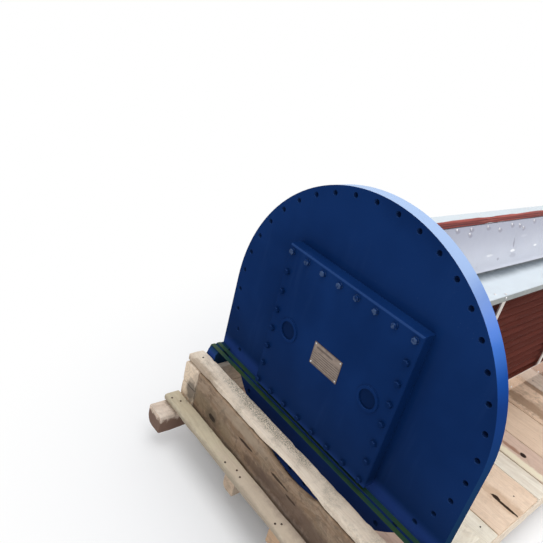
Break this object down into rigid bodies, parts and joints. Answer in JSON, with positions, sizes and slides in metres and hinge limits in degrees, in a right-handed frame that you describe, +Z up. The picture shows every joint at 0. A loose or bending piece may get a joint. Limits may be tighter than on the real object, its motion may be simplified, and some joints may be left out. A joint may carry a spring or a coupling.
{
  "type": "finned tube air cooler",
  "caption": "Long finned tube bundle behind a round bolted end plate with a square water box, with a sealed air baffle on top, strapped to a timber skid.",
  "frame": {"origin": "centre of the skid's footprint, on the floor", "axes": "+Z up, +X to the right seen from the end plate, +Y from the end plate along the tubes to the far end"},
  "size_m": [1.25, 2.861, 1.21],
  "materials": {
    "blue_paint": "gloss",
    "plate_metal": "satin",
    "casing_metal": "satin",
    "tube_copper": "matte",
    "seal_rubber": "matte",
    "timber": "rough sawn",
    "band_plastic": "embossed"
  },
  "bodies": {
    "root": {"end_plate": "blue_paint", "water_box": "blue_paint", "port_blanks": "blue_paint", "nameplate": "plate_metal", "front_tube_sheet": "casing_metal", "finned_tubes": "tube_copper", "far_tube_sheet": "casing_metal", "far_flange": "casing_metal", "return_cover": "casing_metal", "top_cover": "casing_metal", "left_rail": "casing_metal", "right_rail": "casing_metal", "bottom_sheet": "casing_metal", "left_sill": "casing_metal", "right_sill": "casing_metal", "left_straps": "casing_metal", "right_straps": "casing_metal", "baffle_panel": "casing_metal", "baffle_bracket": "casing_metal", "baffle_end": "casing_metal", "baffle_skirt": "casing_metal", "top_seal": "seal_rubber", "end_seal": "seal_rubber", "bottom_seal": "seal_rubber", "left_beam": "timber", "right_beam": "timber", "left_runner": "timber", "right_runner": "timber", "front_bearer": "timber", "middle_bearer": "timber", "far_bearer": "timber", "left_lower_block": "timber", "right_lower_block": "timber", "left_upper_block": "timber", "right_upper_block": "timber", "upper_front_board": "timber", "lower_front_board": "timber", "fascia_board": "timber", "deck": "timber", "far_cross_timber": "timber", "left_far_post": "timber", "right_far_post": "timber", "front_band": "band_plastic", "back_band": "band_plastic"}
  },
  "joints": []
}
